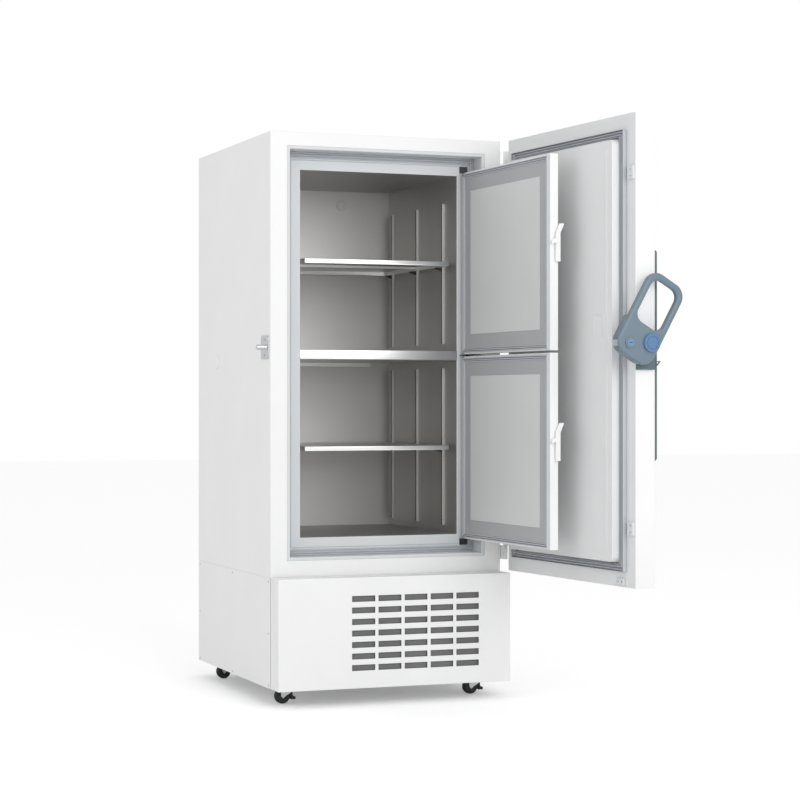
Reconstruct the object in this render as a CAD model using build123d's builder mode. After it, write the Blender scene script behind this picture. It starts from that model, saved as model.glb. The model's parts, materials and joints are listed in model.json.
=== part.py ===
from build123d import *
from math import atan2, cos, degrees, radians, sin
import os

# Upright ultra low temperature freezer with its outer door and its two inner doors open.
# Millimetres, Z up. The origin is on the floor under the middle of the cabinet,
# X runs to the right as seen from the front and Y runs to the back.

# Cabinet body
cabinet_width = 860
cabinet_height = 1980
body_depth = 912
body_bottom = 442
sheet = 1.2
side_strip = 60
top_band = 47
bottom_band = 58

# Clearances
fit = 0.3
running = 0.1

# Door recess, sealing ledge and cold cavity
recess_depth = 80
recess_wall = 12
ledge_width = 62
ledge_thickness = 6
cavity_depth = 688
liner_sheet = 1.5
throat_seal_width = 22
throat_seal_height = 6
seal_rib = 4

# Refrigerant tube wound round the cold cavity
coil_tube = 10
coil_turns = 6
coil_margin = 90

# Divider, shelves and their pilaster strips
divider_underside = 1197.5
divider_thickness = 34.5
divider_bracket = 40
shelf_sheet = 1.5
shelf_lip = 16
shelf_gap = 24
shelf_front_gap = 14
shelf_back_gap = 12
shelf_stiffener = 50
lower_shelf_top = 892.5
upper_shelf_top = 1553
pilaster_width = 20
pilaster_depth = 8
pilaster_sheet = 1.5
pilaster_end_gap = 27
pilaster_first = 126
pilaster_pitch = 258
slot_pitch = 72
slot_height = 12
slot_width = 6
clip_height = 12
clip_width = 16
clip_reach = 22

# Access ports
rear_port_x = 99
rear_port_z = 1804
port_stem = 30
rear_port_flange = 38
rear_port_rim = 4
side_port_from_front = 661
side_port_z = 1197
side_port_cap_size = 54
side_port_cap_rim = 5
side_port_stem_length = 40

# Outer door
door_thickness = 73
door_gap = 17
door_bottom_step = 6
door_open = 94.5
door_hinge_out = 15
door_hinge_forward = 13
door_sheet = 1.5
door_skin = 2
plug_depth = 41
plug_free_margin = 76
plug_hinge_margin = 80
plug_end_margin = 80
plug_taper = 4
plug_corner = 20
plug_panel_inset = 34
plug_panel_height = 2
vent_width = 64
vent_height = 79
vent_x = -269
vent_z = 1297
vent_rim = 3
door_seal_inset = 52
door_seal_width = 23
bumper_width = 34
bumper_height = 44
bumper_depth = 9
bumper_hole = 3.5
bumper_inset = 21
bumper_lower_z = 640
bumper_upper_z = 1787
bumper_end_x = -345
bumper_end_rise = 18

# Outer hinges
hinge_height = 98
hinge_lower_z = 487
hinge_upper_z = 1845
hinge_barrel = 8
hinge_pin = 4
hinge_plate = 4
hinge_leaf_reach = 58

# Inner doors
inner_door_thickness = 30
inner_door_front = 40
inner_door_open = 92.6
inner_hinge_x_past_cavity = 30
inner_hinge_y = 60
inner_overlap_left = 44
inner_overlap_right = 38
inner_overlap_top = 10
inner_overlap_bottom = 15
inner_split = 1215
inner_split_gap = 8
inner_seal_width = 16
inner_seal_inset = 6
inner_border = 46
inner_relief = 3
inner_hinge_pin = 4
inner_hinge_pin_length = 14
inner_bracket_sheet = 3
inner_bracket_width = 30
inner_bracket_height = 23

# Inner door latches
latch_above = 64
latch_below = 62
latch_thickness = 9
latch_gap = 3
latch_lower_z = 915
latch_upper_z = 1574
latch_pivot_y = 46
latch_pivot = 4
latch_bar = 16
latch_nose_reach = 24
latch_nose = 8
latch_lean = 14
keeper_clearance = 0.5
keeper_depth = 5.5
keeper_height = 12

# Latch handle on the free edge of the outer door
handle_tilt = 30
handle_width = 150
handle_length = 291
handle_corner = 45
handle_pivot_from_edge = 36
handle_pivot_from_end = 79
handle_pivot_y = -44
handle_pivot_z = 1237
handle_gap = 11
handle_depth = 41
handle_bar = 22
handle_bar_round = 8.5
handle_hood_inset = 2
handle_hole_start = 120
handle_hole_corner = 30
handle_shaft = 9
handle_turn = 35
knob_radius = 30.5
knob_height = 8
lock_radius = 12
lock_bezel_radius = 18.5
lock_bezel_height = 3
lock_length = 8.5
lock_proud = 1.2
handle_base_front = 6
handle_base_below = 85
handle_base_above = 40
padlock_ring_reach = 25
padlock_ring_height = 28
padlock_ring_wire = 3.5

# Strike on the left side of the cabinet
strike_y = 35
strike_plate_width = 84
strike_plate_height = 82
strike_plate_thickness = 3
strike_plate_front = 16
strike_pin_radius = 9.3
strike_pin_length = 39
cam_clearance = 1.2
cam_depth_clearance = 5

# Control fascia on the front of the outer door
fascia_width = 122
fascia_margin = 8
fascia_thickness = 12
fascia_bottom = 855
fascia_top = 1539
display_width = 74
display_height = 132
display_z = 1330
display_depth = 3

# Machine base
base_bottom = 61.5
base_flange = 18
base_floor = 70
frame_sheet = 3
post_size = 42
screw_radius = 3.5
screw_head = 1.5
screw_inset = 22
screw_rows = (70, 250, 429)

# Front cover and its louvres
cover_depth = 90
cover_top_gap = 2
cover_back_gap = 4
cover_sheet = 2
louvre_columns = 5
louvre_rows = 7
louvre_width = 85
louvre_height = 20.5
louvre_column_pitch = 97
louvre_row_pitch = 39.6
louvre_first_x = -121.5
louvre_top_z = 370
cover_pin = 4
cover_hinge_in = 8
cover_hinge_forward = 12
filter_thickness = 14
filter_margin = 12

# Refrigeration machinery
condenser_width = 500
condenser_height = 290
condenser_depth = 60
condenser_from_front = 34
condenser_x = 72
condenser_fins = 17
fin_thickness = 2
fin_proud = 4
fan_radius = 130
fan_hub = 34
fan_blades = 5
fan_depth = 46
fan_chord = 44
fan_blade = 5
fan_root_pitch = 48
fan_tip_pitch = 66
fan_tip_gap = 8
shroud_sheet = 2
shroud_ring_wall = 4
motor_radius = 38
motor_length = 70
motor_shaft = 6
motor_strut = 12
compressor_radius = 92
compressor_height = 190
compressor_dome = 30
compressor_foot = 150
compressor_foot_thickness = 4
compressor_x = 250
compressor_y = 250
exchanger_width = 110
exchanger_depth = 80
exchanger_height = 260
box_width = 150
box_depth = 240
box_height = 260
box_x = -300
box_y = -230
inlet_width = 50
inlet_height = 34
inlet_depth = 26
inlet_x = 320
inlet_z = 250
rear_vent_width = 230
rear_vent_height = 8
rear_vent_pitch = 32
rear_vent_rows = 6

# Castors
castor_x = 354
castor_front_y = -380
castor_back_y = 346
castor_wheel = 27
castor_wheel_width = 24
castor_axle = 4
castor_trail = 10
castor_plate = 62
castor_plate_thickness = 4
castor_king_pin = 6
castor_cheek = 3
castor_cheek_gap = 1.5
pedal_pivot_out = 20
pedal_pivot_z = 46
pedal_reach = 36
pedal_bottom = 14

# Positions that follow from the sizes above
half_width = cabinet_width / 2
front_y = -body_depth / 2
back_y = body_depth / 2
body_height = cabinet_height - body_bottom
recess_half = half_width - side_strip
recess_bottom = body_bottom + bottom_band
recess_top = cabinet_height - top_band
cavity_half = recess_half - recess_wall - ledge_width
cavity_bottom = recess_bottom + recess_wall + ledge_width
cavity_top = recess_top - recess_wall - ledge_width
ledge_y = front_y + recess_depth
cavity_front = ledge_y + ledge_thickness
cavity_back = cavity_front + cavity_depth
divider_top = divider_underside + divider_thickness


# Planes and outlines shared by the pieces
def level(z):
    """Horizontal plane at height z, drawn in X and Y."""
    return Plane.XY.offset(z)


def facing_front(y):
    """Upright plane at depth y, drawn in X and Z, with its normal to the front."""
    return Plane.XZ.offset(-y)


def facing_right(x):
    """Upright plane at x, drawn in Y and Z, with its normal to the right."""
    return Plane.YZ.offset(x)


def swung(plane, hinge, angle):
    """Carry a plane of the closed door round its upright hinge to the open door."""
    turn = Pos(hinge[0], hinge[1]) * Rot(0, 0, angle) * Pos(-hinge[0], -hinge[1])
    return Plane(turn * plane.location)


def block(plane, across, along, depth, mode=Mode.ADD):
    """Rectangle between the given limits on a plane, extruded into the part."""
    with BuildSketch(plane) as outline:
        with Locations(((across[0] + across[1]) / 2, (along[0] + along[1]) / 2)):
            Rectangle(across[1] - across[0], along[1] - along[0])
    extrude(outline.sketch, amount=depth, mode=mode)


def ring(plane, outer, inner, depth):
    """Rectangular frame between two outlines, each (low x, high x, low y, high y)."""
    with BuildSketch(plane) as outline:
        for edges, mode in ((outer, Mode.ADD), (inner, Mode.SUBTRACT)):
            with Locations(((edges[0] + edges[1]) / 2, (edges[2] + edges[3]) / 2)):
                Rectangle(edges[1] - edges[0], edges[3] - edges[2], mode=mode)
    extrude(outline.sketch, amount=depth)


def disc(plane, centre, radius, depth, mode=Mode.ADD):
    """Round bar or hole on a plane."""
    with BuildSketch(plane) as outline:
        with Locations(centre):
            Circle(radius)
    extrude(outline.sketch, amount=depth, mode=mode)


def shrink(edges, amount):
    """Move the four limits of an outline inwards."""
    return (edges[0] + amount, edges[1] - amount, edges[2] + amount, edges[3] - amount)


def save(piece, name):
    """Label a finished piece and write it under the same name."""
    piece.part.label = name
    export_step(piece.part, f"parts/{name}.step")


os.makedirs("parts", exist_ok=True)

# Outer shell: folded and welded steel cabinet, open at the back, with the recess window
window = (-recess_half, recess_half, recess_bottom, recess_top)
with BuildPart() as outer_shell:
    block(level(body_bottom), (-half_width, half_width), (front_y, back_y), body_height)
    offset(amount=-sheet, openings=outer_shell.faces().sort_by(Axis.Y)[-1])
    block(facing_front(front_y), window[:2], window[2:], -sheet, Mode.SUBTRACT)
    disc(facing_right(-half_width), (front_y + side_port_from_front, side_port_z),
         port_stem / 2 + fit, sheet, Mode.SUBTRACT)
save(outer_shell, "outer_shell")

# Back panel: closes the shell and carries the rear port
with BuildPart() as back_panel:
    block(facing_front(back_y), (-half_width + sheet, half_width - sheet),
          (body_bottom + sheet, cabinet_height - sheet), sheet)
    disc(facing_front(back_y), (rear_port_x, rear_port_z), port_stem / 2 + fit, sheet, Mode.SUBTRACT)
save(back_panel, "back_panel")

# Evaporator coil route: turns of square tube round the left, back and right walls of the liner
liner_half = cavity_half + liner_sheet
liner_bottom = cavity_bottom - liner_sheet
liner_top = cavity_top + liner_sheet
liner_back = cavity_back + liner_sheet
coil_bottom = liner_bottom + coil_margin + coil_tube
coil_pitch = (liner_top - liner_bottom - 2 * coil_margin - 2 * coil_tube) / (coil_turns - 1)
coil_x = liner_half + coil_tube / 2 + fit / 2
coil_y = liner_back + coil_tube / 2 + fit / 2
coil_front = cavity_front + coil_margin + coil_tube
coil_corners = []
for turn in range(coil_turns):
    height = coil_bottom + turn * coil_pitch
    side = 1 if turn % 2 else -1
    coil_corners += [(side * coil_x, coil_front, height), (side * coil_x, coil_y, height),
                     (-side * coil_x, coil_y, height), (-side * coil_x, coil_front, height)]


def along_coil(width, mode=Mode.ADD):
    """Square section of a width swept along the coil route."""
    with BuildLine() as route:
        Polyline(coil_corners)
    with BuildSketch(Plane(coil_corners[0], z_dir=(0, 1, 0))) as section:
        Rectangle(width, width)
    sweep(section.sketch, path=route.wires()[0], transition=Transition.RIGHT, mode=mode)


# Insulating foam: fills the body round the recess and the cavity, with a groove for the coil
with BuildPart() as foam_core:
    block(level(body_bottom + sheet), (-half_width + sheet, half_width - sheet),
          (front_y + sheet, back_y - sheet), body_height - 2 * sheet)
    block(facing_front(front_y), window[:2], window[2:], -recess_depth - ledge_thickness, Mode.SUBTRACT)
    block(facing_front(cavity_front), (-liner_half, liner_half), (liner_bottom, liner_top),
          -cavity_depth - liner_sheet, Mode.SUBTRACT)
    along_coil(coil_tube + fit, Mode.SUBTRACT)
    disc(facing_front(back_y), (rear_port_x, rear_port_z), port_stem / 2 + fit,
         back_y - cavity_back, Mode.SUBTRACT)
    disc(facing_right(-half_width), (front_y + side_port_from_front, side_port_z),
         port_stem / 2 + fit, side_port_stem_length + fit, Mode.SUBTRACT)
save(foam_core, "foam_core")

# Inner liner: brushed steel cavity wall, open at the front
with BuildPart() as inner_liner:
    block(facing_front(cavity_front), (-liner_half, liner_half), (liner_bottom, liner_top),
          -cavity_depth - liner_sheet)
    offset(amount=-liner_sheet, openings=inner_liner.faces().sort_by(Axis.Y)[0])
    disc(facing_front(liner_back), (rear_port_x, rear_port_z), port_stem / 2 + fit,
         liner_sheet, Mode.SUBTRACT)
save(inner_liner, "inner_liner")

# Evaporator coil: flat-sided tube that lies in the groove of the foam, against the liner
with BuildPart() as evaporator_coil:
    along_coil(coil_tube)
save(evaporator_coil, "evaporator_coil")

# Recess frame: moulded jambs and sealing ledge, with the two keepers of the inner latches
cavity_mouth = (-cavity_half, cavity_half, cavity_bottom, cavity_top)
recess_inside = shrink(window, recess_wall)
keeper_width = ledge_width - inner_overlap_left - latch_gap - fit
recess_left = -recess_half + recess_wall
with BuildPart() as recess_frame:
    ring(facing_front(front_y), window, recess_inside, -recess_depth)
    ring(facing_front(ledge_y), window, cavity_mouth, -ledge_thickness)
    lip = recess_frame.faces().sort_by(Axis.Y)[0].inner_wires()[0]
    fillet(lip.edges(), radius=recess_wall / 3)
    groove = shrink(recess_inside, throat_seal_width + seal_rib)
    with BuildSketch(facing_front(ledge_y)) as seal_groove:
        for edges, mode in ((groove, Mode.ADD), (shrink(groove, seal_rib / 2), Mode.SUBTRACT)):
            with Locations((0, (edges[2] + edges[3]) / 2)):
                Rectangle(edges[1] - edges[0], edges[3] - edges[2], mode=mode)
    extrude(seal_groove.sketch, amount=-ledge_thickness / 3, mode=Mode.SUBTRACT)
    keeper_y = front_y + latch_pivot_y + latch_bar / 2 + keeper_clearance
    for z in (latch_lower_z, latch_upper_z):
        keeper_top = z - latch_nose / 2 - keeper_clearance
        block(facing_right(recess_left), (keeper_y, keeper_y + keeper_depth),
              (keeper_top - keeper_height, keeper_top), keeper_width)
save(recess_frame, "recess_frame")

# Throat seal: ribbed ring on the outer part of the ledge
seal_outside = shrink(recess_inside, fit)
with BuildPart() as throat_seal:
    ring(facing_front(ledge_y), seal_outside, shrink(seal_outside, throat_seal_width),
         throat_seal_height - seal_rib / 2)
    for step in (0, 2, 4):
        rib = shrink(seal_outside, step * seal_rib + fit)
        ring(facing_front(ledge_y - throat_seal_height + seal_rib / 2), rib,
             shrink(rib, seal_rib), seal_rib / 2)
save(throat_seal, "throat_seal")

# Centre divider: insulated fixed shelf between the two inner doors
with BuildPart() as centre_divider:
    block(level(divider_underside), (-cavity_half, cavity_half), (ledge_y, cavity_back), divider_thickness)
    front_edges = centre_divider.faces().sort_by(Axis.Y)[0].edges().filter_by(Axis.X)
    fillet(front_edges, radius=liner_sheet * 2)
    bracket_half = cavity_half - coil_margin
    block(level(divider_underside - divider_bracket / 3), (-bracket_half, bracket_half),
          (cavity_back - divider_bracket, cavity_back), divider_bracket / 3)
save(centre_divider, "centre_divider")

# Shelves: folded steel trays with a hat stiffener underneath
shelf_half = cavity_half - shelf_gap
shelf_front = cavity_front + shelf_front_gap
shelf_back = cavity_back - shelf_back_gap
for name, top in (("shelf_lower", lower_shelf_top), ("shelf_upper", upper_shelf_top)):
    with BuildPart() as shelf:
        block(level(top - shelf_lip), (-shelf_half, shelf_half), (shelf_front, shelf_back), shelf_lip)
        top_edges = shelf.faces().sort_by(Axis.Z)[-1].edges()
        fillet(top_edges, radius=shelf_sheet * 1.5)
        offset(amount=-shelf_sheet, openings=shelf.faces().sort_by(Axis.Z)[0])
        block(level(top - shelf_sheet), (-shelf_half + shelf_sheet, shelf_half - shelf_sheet),
              (-shelf_stiffener / 2, shelf_stiffener / 2), -shelf_lip / 2)
    save(shelf, name)

# Pilaster strips: slotted channels on both side walls of each compartment
pilaster_y = [cavity_front + pilaster_first + index * pilaster_pitch for index in range(3)]
compartments = ((cavity_bottom, divider_underside), (divider_top, cavity_top - coil_margin + pilaster_end_gap))
with BuildPart() as pilasters:
    for floor_z, ceiling_z in compartments:
        low, high = floor_z + pilaster_end_gap, ceiling_z - pilaster_end_gap
        slots = int((high - low) / slot_pitch) - 1
        for side in (-1, 1):
            for y in pilaster_y:
                with BuildSketch(level(low)) as channel:
                    with Locations((side * (cavity_half - pilaster_depth / 2), y)):
                        Rectangle(pilaster_depth, pilaster_width)
                    with Locations((side * (cavity_half - (pilaster_depth - pilaster_sheet) / 2), y)):
                        Rectangle(pilaster_depth - pilaster_sheet, pilaster_width - 2 * pilaster_sheet,
                                  mode=Mode.SUBTRACT)
                extrude(channel.sketch, amount=high - low)
                with BuildSketch(facing_right(side * (cavity_half - pilaster_depth))) as holes:
                    with Locations((y, (low + high) / 2)):
                        with GridLocations(0, slot_pitch, 1, slots):
                            Rectangle(slot_width, slot_height)
                extrude(holes.sketch, amount=side * pilaster_sheet, mode=Mode.SUBTRACT)
save(pilasters, "pilasters")

# Shelf clips: one under each shelf edge at every pilaster
with BuildPart() as shelf_clips:
    for top in (lower_shelf_top, upper_shelf_top):
        seat = top - shelf_lip
        for side in (-1, 1):
            face_x = side * (cavity_half - pilaster_depth)
            for y in pilaster_y:
                with BuildSketch(Plane.XZ.offset(-y - clip_width / 2)) as clip:
                    with BuildLine():
                        Polyline((face_x, seat), (face_x - side * clip_reach, seat),
                                 (face_x - side * clip_reach, seat - clip_height / 3),
                                 (face_x, seat - clip_height), close=True)
                    make_face()
                extrude(clip.sketch, amount=clip_width)
save(shelf_clips, "shelf_clips")

# Rear port plug: flange inside the cavity, stem through the wall and cap behind the cabinet
with BuildPart() as rear_port_plug:
    disc(facing_front(cavity_back), (rear_port_x, rear_port_z), rear_port_flange / 2, rear_port_rim)
    chamfer(rear_port_plug.faces().sort_by(Axis.Y)[0].edges(), length=rear_port_rim / 2)
    disc(facing_front(cavity_back), (rear_port_x, rear_port_z), port_stem / 2, cavity_back - back_y)
    disc(facing_front(back_y), (rear_port_x, rear_port_z), side_port_cap_size / 2, -side_port_cap_rim)
save(rear_port_plug, "rear_port_plug")

# Side port cap: rounded cap with a short stem in the left wall
with BuildPart() as side_port_cap:
    disc(facing_right(-half_width), (front_y + side_port_from_front, side_port_z),
         side_port_cap_size / 2, -side_port_cap_rim)
    chamfer(side_port_cap.faces().sort_by(Axis.X)[0].edges(), length=side_port_cap_rim * 0.6)
    disc(facing_right(-half_width), (front_y + side_port_from_front, side_port_z),
         port_stem / 2, side_port_stem_length)
save(side_port_cap, "side_port_cap")

# Door strike: plate with a welded pin on the left side of the cabinet, hooked by the latch handle
strike_z = handle_pivot_z
plate_y = (front_y + strike_plate_front, front_y + strike_plate_front + strike_plate_width)
with BuildPart() as door_strike:
    block(facing_right(-half_width), plate_y,
          (strike_z - strike_plate_height / 2, strike_z + strike_plate_height / 2), -strike_plate_thickness)
    fillet(door_strike.edges().filter_by(Axis.X), radius=strike_plate_height / 8)
    disc(facing_right(-half_width), (front_y + strike_y, strike_z), strike_pin_radius, -strike_pin_length)
    chamfer(door_strike.faces().sort_by(Axis.X)[0].edges(), length=strike_pin_radius / 5)
save(door_strike, "door_strike")

# Base side panels: folded channels, the right one with the two hinge tabs of the front cover
cover_bottom = base_bottom
cover_top = body_bottom + cover_top_gap
cover_back = front_y - cover_back_gap
cover_front = front_y - cover_depth
cover_hinge = (half_width - cover_hinge_in, front_y - cover_hinge_forward)
tab_levels = ((cover_bottom + cover_sheet + fit, -1), (cover_top - cover_sheet - fit - frame_sheet, 1))
with BuildPart() as base_side_panels:
    for side in (-1, 1):
        outer, inner = side * half_width, side * (half_width - base_flange)
        block(level(base_bottom), (min(outer, inner), max(outer, inner)), (front_y, back_y),
              body_bottom - base_bottom)
        inside = (min(inner, outer - side * sheet), max(inner, outer - side * sheet))
        block(level(base_bottom), inside, (front_y + sheet, back_y - sheet),
              body_bottom - base_bottom, Mode.SUBTRACT)
    for tab_z, way in tab_levels:
        block(level(tab_z), (cover_hinge[0] - cover_pin * 2, cover_hinge[0] + cover_pin),
              (cover_hinge[1] - cover_pin, front_y), frame_sheet)
        pin_start = tab_z + (frame_sheet if way > 0 else 0)
        disc(level(pin_start), cover_hinge, cover_pin, way * (cover_sheet + fit))
save(base_side_panels, "base_side_panels")

# Base frame: tray with four welded corner posts under the insulated body
frame_half = half_width - sheet
frame_y = (front_y + sheet, back_y - sheet)
with BuildPart() as base_frame:
    block(level(base_floor), (-frame_half, frame_half), frame_y, frame_sheet)
    for side in (-1, 1):
        for back in (-1, 1):
            with BuildSketch(level(base_floor + frame_sheet)) as angle:
                with Locations((side * (frame_half - post_size / 2), back * (frame_y[1] - post_size / 2))):
                    Rectangle(post_size, post_size)
                with Locations((side * (frame_half - frame_sheet - post_size / 2),
                                back * (frame_y[1] - frame_sheet - post_size / 2))):
                    Rectangle(post_size, post_size, mode=Mode.SUBTRACT)
            extrude(angle.sketch, amount=body_bottom - base_floor - frame_sheet)
save(base_frame, "base_frame")

# Base rear panel: vented sheet that closes the machine space
rear_panel_half = half_width - base_flange - fit
rear_panel_z = (base_floor + frame_sheet + fit, body_bottom - fit)
with BuildPart() as base_rear_panel:
    block(facing_front(back_y), (-rear_panel_half, rear_panel_half), rear_panel_z, sheet)
    with BuildSketch(facing_front(back_y)) as vents:
        with Locations((0, (rear_panel_z[0] + rear_panel_z[1]) / 2)):
            with GridLocations(rear_vent_width + rear_vent_pitch, rear_vent_pitch, 2, rear_vent_rows):
                Rectangle(rear_vent_width, rear_vent_height)
    extrude(vents.sketch, amount=sheet, mode=Mode.SUBTRACT)
save(base_rear_panel, "base_rear_panel")



def screw(seat, centre, side):
    """Six-sided head on an upright face at the given seat."""
    with BuildSketch(facing_right(seat)) as head:
        with Locations(centre):
            RegularPolygon(screw_radius, 6)
    extrude(head.sketch, amount=side * screw_head)


# Screws: eight in each base side panel and two in the strike plate
with BuildPart() as panel_screws:
    screw_columns = (front_y + screw_inset, 0, back_y - screw_inset)
    for side in (-1, 1):
        for z in screw_rows:
            for y in screw_columns:
                if z != screw_rows[1] or y != screw_columns[1]:
                    screw(side * half_width, (y, z), side)
    for way in (-1, 1):
        screw(-half_width - strike_plate_thickness,
              (sum(plate_y) / 2, strike_z + way * strike_plate_height / 3), -1)
save(panel_screws, "panel_screws")

# Power inlet: recessed socket on the vented rear panel, beside its slots
with BuildPart() as power_inlet:
    block(facing_front(back_y + inlet_depth / 4), (inlet_x - inlet_width / 2, inlet_x + inlet_width / 2),
          (inlet_z - inlet_height / 2, inlet_z + inlet_height / 2), inlet_depth / 4)
    fillet(power_inlet.edges().filter_by(Axis.Y), radius=inlet_height / 8)
    block(facing_front(back_y + inlet_depth / 4), (inlet_x - inlet_width / 3, inlet_x + inlet_width / 3),
          (inlet_z - inlet_height / 3, inlet_z + inlet_height / 3), inlet_depth / 5, Mode.SUBTRACT)
save(power_inlet, "power_inlet")

# Condenser: finned block on the tray behind the louvres
tray_top = base_floor + frame_sheet
condenser_y = front_y + condenser_from_front
condenser_x_limits = (condenser_x - condenser_width / 2, condenser_x + condenser_width / 2)
condenser_z = (tray_top, tray_top + condenser_height)
with BuildPart() as condenser:
    block(facing_front(condenser_y + fin_proud), condenser_x_limits, condenser_z,
          -condenser_depth + 2 * fin_proud)
    with BuildSketch(facing_front(condenser_y)) as fins:
        with Locations((condenser_x, sum(condenser_z) / 2)):
            with GridLocations((condenser_width - fin_thickness) / (condenser_fins - 1), 0, condenser_fins, 1):
                Rectangle(fin_thickness, condenser_height)
    extrude(fins.sketch, amount=-condenser_depth)
save(condenser, "condenser")

# Fan shroud: plate and round duct behind the condenser
fan_centre = (condenser_x, sum(condenser_z) / 2)
shroud_y = condenser_y + condenser_depth
duct_radius = fan_radius + fan_tip_gap
duct_back = shroud_y + shroud_sheet + fan_depth + fan_tip_gap
with BuildPart() as fan_shroud:
    block(facing_front(shroud_y), condenser_x_limits, condenser_z, -shroud_sheet)
    disc(facing_front(shroud_y), fan_centre, duct_radius + shroud_ring_wall, shroud_y - duct_back)
    disc(facing_front(shroud_y), fan_centre, duct_radius, shroud_y - duct_back, Mode.SUBTRACT)
save(fan_shroud, "fan_shroud")

# Fan motor: can on four struts across the duct, with its shaft in the hub
fan_front = shroud_y + shroud_sheet
with BuildPart() as fan_motor:
    disc(facing_front(duct_back), fan_centre, motor_radius, -motor_length)
    chamfer(fan_motor.faces().sort_by(Axis.Y)[-1].edges(), length=motor_radius / 6)
    with BuildSketch(facing_front(duct_back)) as struts:
        with Locations(fan_centre):
            Rectangle(2 * duct_radius + shroud_ring_wall, motor_strut)
            Rectangle(motor_strut, 2 * duct_radius + shroud_ring_wall)
    extrude(struts.sketch, amount=-motor_strut / 2)
    disc(facing_front(duct_back), fan_centre, motor_shaft, fan_depth)
save(fan_motor, "fan_motor")

# Fan rotor: hub with twisted blades lofted from root to tip
blade_sections = ((fan_hub * 0.9, fan_root_pitch, fan_blade), (fan_radius, fan_tip_pitch, fan_blade / 2))
with BuildPart() as fan_rotor:
    disc(facing_front(fan_front + fan_depth), fan_centre, fan_hub, fan_depth)
    chamfer(fan_rotor.faces().sort_by(Axis.Y)[0].edges(), length=fan_hub / 6)
    for blade in range(fan_blades):
        spin = radians(360 * blade / fan_blades)
        outward = Vector(cos(spin), 0, sin(spin))
        blade_origin = Vector(fan_centre[0], fan_front + fan_depth / 2, fan_centre[1])
        for reach, pitch, thickness in blade_sections:
            with BuildSketch(Plane(blade_origin + outward * reach, x_dir=(0, 1, 0), z_dir=outward)):
                Rectangle(fan_chord, thickness, rotation=90 - pitch)
        loft()
    disc(facing_front(fan_front + fan_depth), fan_centre, motor_shaft + running, fan_depth - fan_hub / 6,
         Mode.SUBTRACT)
save(fan_rotor, "fan_rotor")

# Compressors: two domed cans on foot plates, one for each stage of the cascade
with BuildPart() as compressors:
    foot = compressor_foot / 2
    for side in (-1, 1):
        centre = (side * compressor_x, compressor_y)
        block(level(tray_top), (centre[0] - foot, centre[0] + foot), (centre[1] - foot, centre[1] + foot),
              compressor_foot_thickness)
        disc(level(tray_top + compressor_foot_thickness), centre, compressor_radius, compressor_height)
    fillet(compressors.edges().filter_by(Axis.Z).filter_by(GeomType.LINE).sort_by(Axis.Z)[:8], radius=foot / 4)
    chamfer(compressors.faces().sort_by(Axis.Z)[-2:].edges(), length=compressor_dome)
save(compressors, "compressors")

# Cascade exchanger: insulated plate block between the compressors
with BuildPart() as cascade_exchanger:
    block(level(tray_top), (-exchanger_width / 2, exchanger_width / 2),
          (compressor_y - exchanger_depth / 2, compressor_y + exchanger_depth / 2), exchanger_height)
    fillet(cascade_exchanger.edges().filter_by(Axis.Z), radius=exchanger_depth / 8)
save(cascade_exchanger, "cascade_exchanger")

# Electrical box: folded case with a lid that overhangs its walls
with BuildPart() as electrical_box:
    box_limits = (box_x - box_width / 2, box_x + box_width / 2, box_y - box_depth / 2, box_y + box_depth / 2)
    block(level(tray_top), box_limits[:2], box_limits[2:], box_height - frame_sheet)
    lid = shrink(box_limits, -frame_sheet)
    block(level(tray_top + box_height - frame_sheet), lid[:2], lid[2:], frame_sheet)
save(electrical_box, "electrical_box")

# Front cover: folded pan with the louvre grid, hinged at its right end
louvre_last_x = louvre_first_x + (louvre_columns - 1) * louvre_column_pitch
louvre_bottom_z = louvre_top_z - (louvre_rows - 1) * louvre_row_pitch
louvre_centre = ((louvre_first_x + louvre_last_x) / 2, (louvre_top_z + louvre_bottom_z) / 2)
with BuildPart() as lower_front_cover:
    block(facing_front(cover_back), (-half_width, half_width), (cover_bottom, cover_top),
          cover_back - cover_front)
    fillet(lower_front_cover.faces().sort_by(Axis.Y)[0].edges(), radius=cover_sheet)
    block(facing_front(cover_back), (cover_sheet - half_width, half_width - cover_sheet),
          (cover_bottom + cover_sheet, cover_top - cover_sheet), cover_back - cover_front - cover_sheet,
          Mode.SUBTRACT)
    with BuildSketch(facing_front(cover_front)) as louvres:
        with Locations(louvre_centre):
            with GridLocations(louvre_column_pitch, louvre_row_pitch, louvre_columns, louvre_rows):
                Rectangle(louvre_width, louvre_height)
    extrude(louvres.sketch, amount=-cover_sheet, mode=Mode.SUBTRACT)
    disc(level(cover_bottom), cover_hinge, cover_pin + running, cover_top - cover_bottom, Mode.SUBTRACT)
    notch_depth = cover_hinge_forward + cover_hinge_in + cover_pin
    for tab_z, way in tab_levels:
        block(level(tab_z - fit), (half_width - cover_sheet, half_width), (front_y - notch_depth, cover_back),
              frame_sheet + 2 * fit, Mode.SUBTRACT)
save(lower_front_cover, "lower_front_cover")

# Air filter: framed mat behind the louvres, carried by the cover
filter_side = louvre_width / 2 + filter_margin
filter_end = louvre_height / 2 + filter_margin
filter_x = (louvre_first_x - filter_side, louvre_last_x + filter_side)
filter_z = (louvre_bottom_z - filter_end, louvre_top_z + filter_end)
filter_face = cover_front + cover_sheet
with BuildPart() as air_filter:
    filter_limits = filter_x + filter_z
    ring(facing_front(filter_face), filter_limits, shrink(filter_limits, filter_margin / 2), -filter_thickness)
    block(facing_front(filter_face + filter_thickness / 2), filter_x, filter_z, -filter_thickness / 4)
save(air_filter, "air_filter")

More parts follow.
